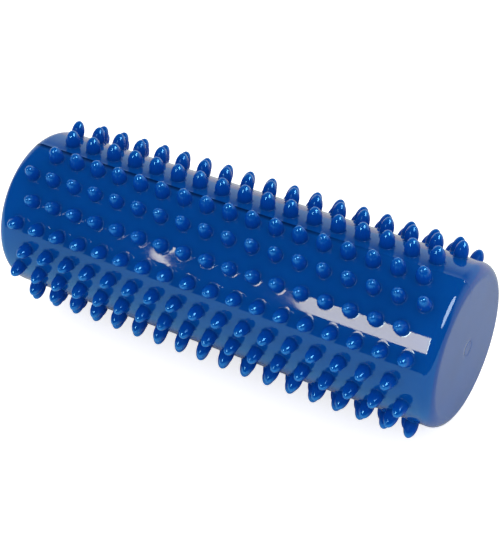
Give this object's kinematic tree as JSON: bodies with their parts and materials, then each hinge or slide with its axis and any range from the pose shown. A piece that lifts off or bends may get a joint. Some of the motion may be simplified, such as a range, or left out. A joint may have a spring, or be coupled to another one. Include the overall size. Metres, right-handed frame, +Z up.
{
  "type": "spiky massage roller",
  "caption": "Hollow soft plastic massage roller, a closed cylinder covered in short blunt spikes, with a small air hole and stopper in one end.",
  "frame": {"origin": "middle of the roller, halfway between its end faces on the rolling axis", "axes": "+X along the rolling axis towards the end with the air hole; +Z up through the upper parting line, with the roller standing on the two rows of spikes beside the lower one"},
  "size_m": [0.174, 0.0692, 0.069],
  "materials": {
    "shell_plastic": "glossy soft plastic",
    "stopper_plastic": "glossy soft plastic"
  },
  "bodies": {
    "shell": {"roller_shell": "shell_plastic"},
    "stopper": {"valve_stopper": "stopper_plastic"}
  },
  "joints": [
    {"name": "stopper_pull", "type": "slide", "parent": "shell", "child": "stopper", "axis": [1, 0, 0], "range_m": [0, 0.01]}
  ]
}
